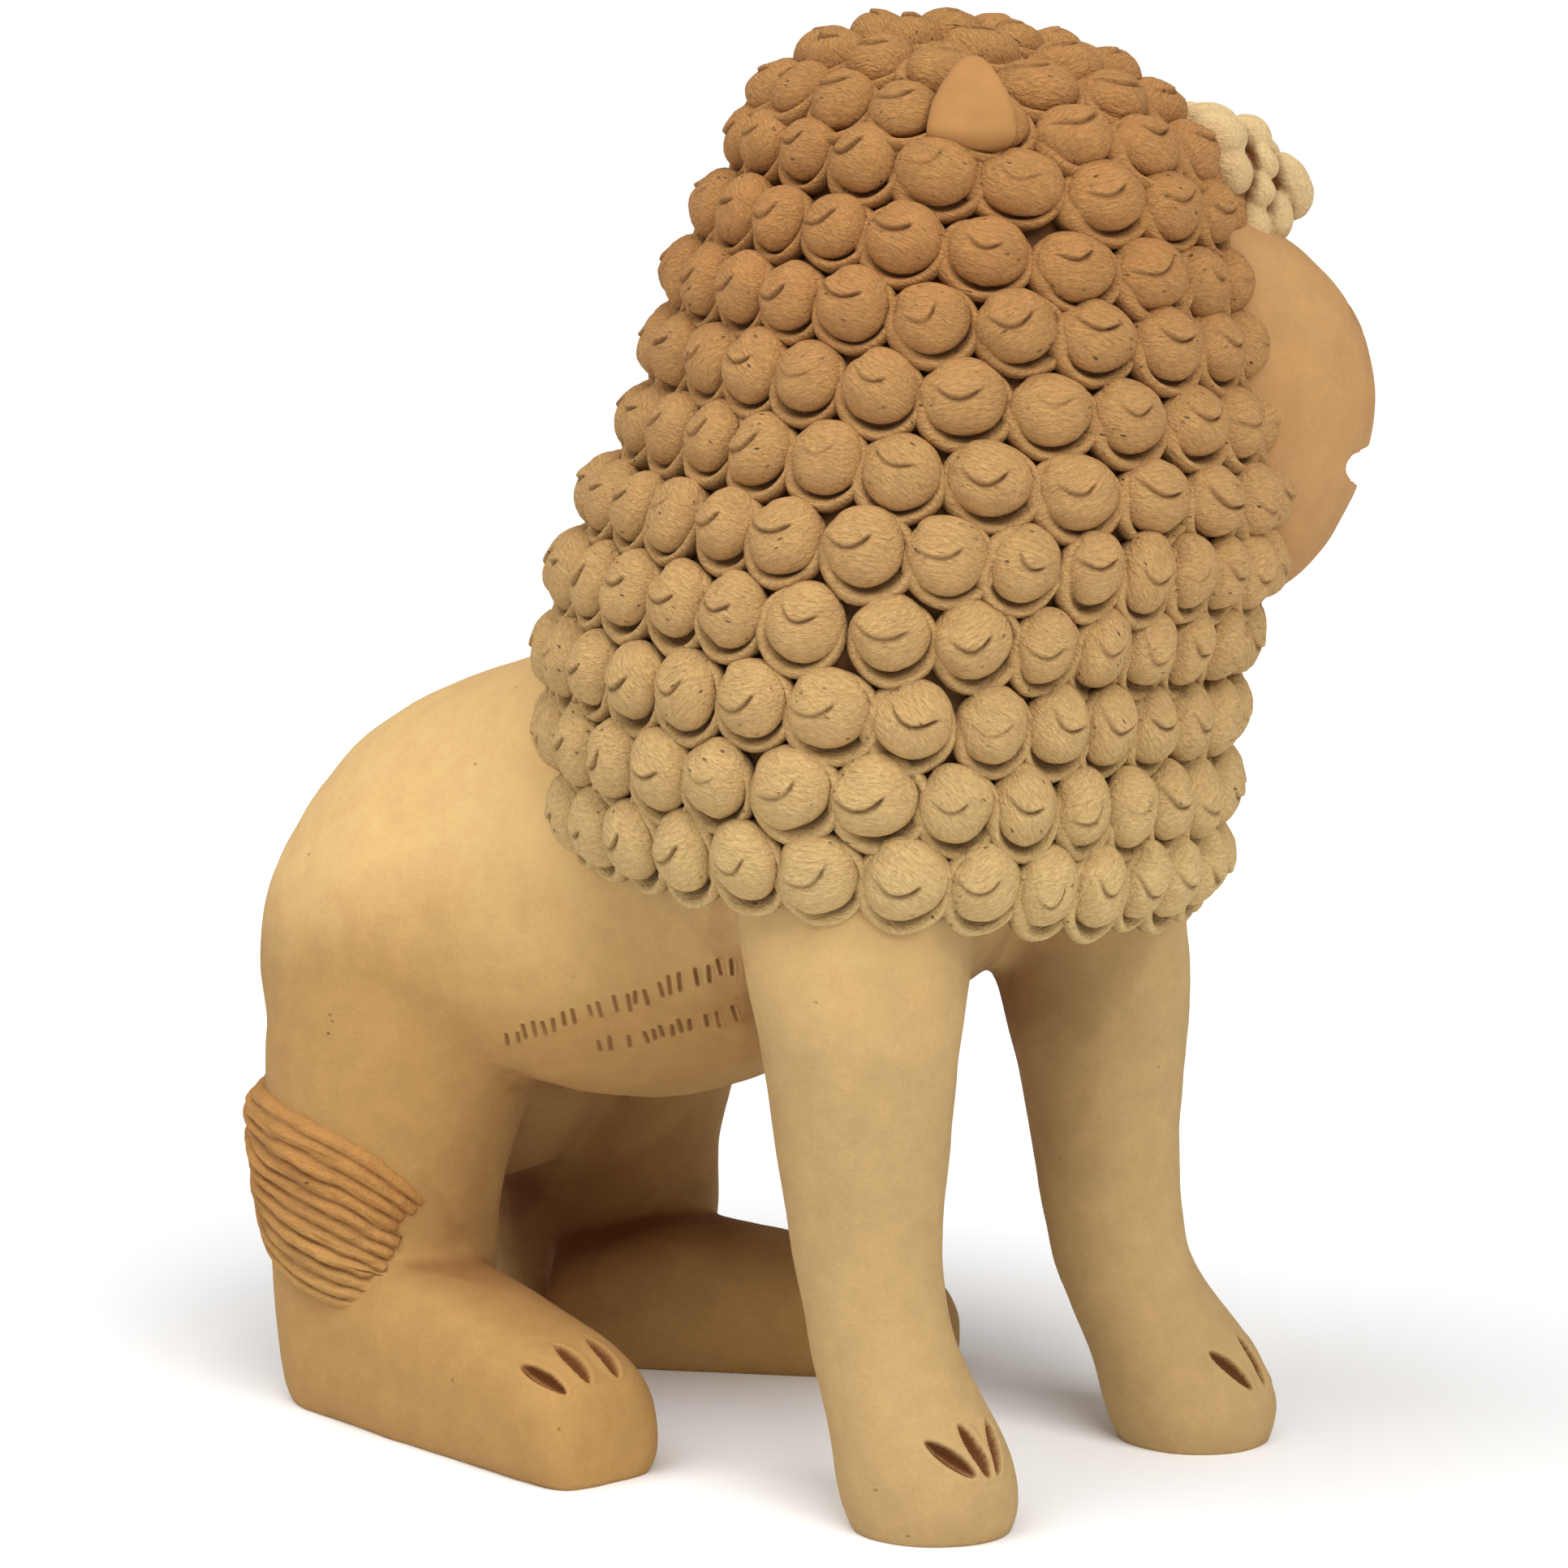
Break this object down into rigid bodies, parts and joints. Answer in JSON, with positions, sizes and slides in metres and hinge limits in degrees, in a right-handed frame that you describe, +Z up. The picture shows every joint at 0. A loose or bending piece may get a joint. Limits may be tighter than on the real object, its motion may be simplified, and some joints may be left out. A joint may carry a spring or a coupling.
{
  "type": "lion sculpture",
  "caption": "Seated folk-art lion in unglazed fired clay, with a bell-shaped mane of clay spirals, its head turned left and a tail tuft on the hip; a decorative figure that stands on its feet.",
  "frame": {"origin": "the floor, under the middle of the whole figure's box", "axes": "+Z up from the soles, +X the way the body faces, +Y the lion's left"},
  "size_m": [0.2852, 0.1928, 0.3589],
  "materials": {
    "fired_clay": "matte"
  },
  "bodies": {
    "root": {"lion": "fired_clay"}
  },
  "joints": []
}
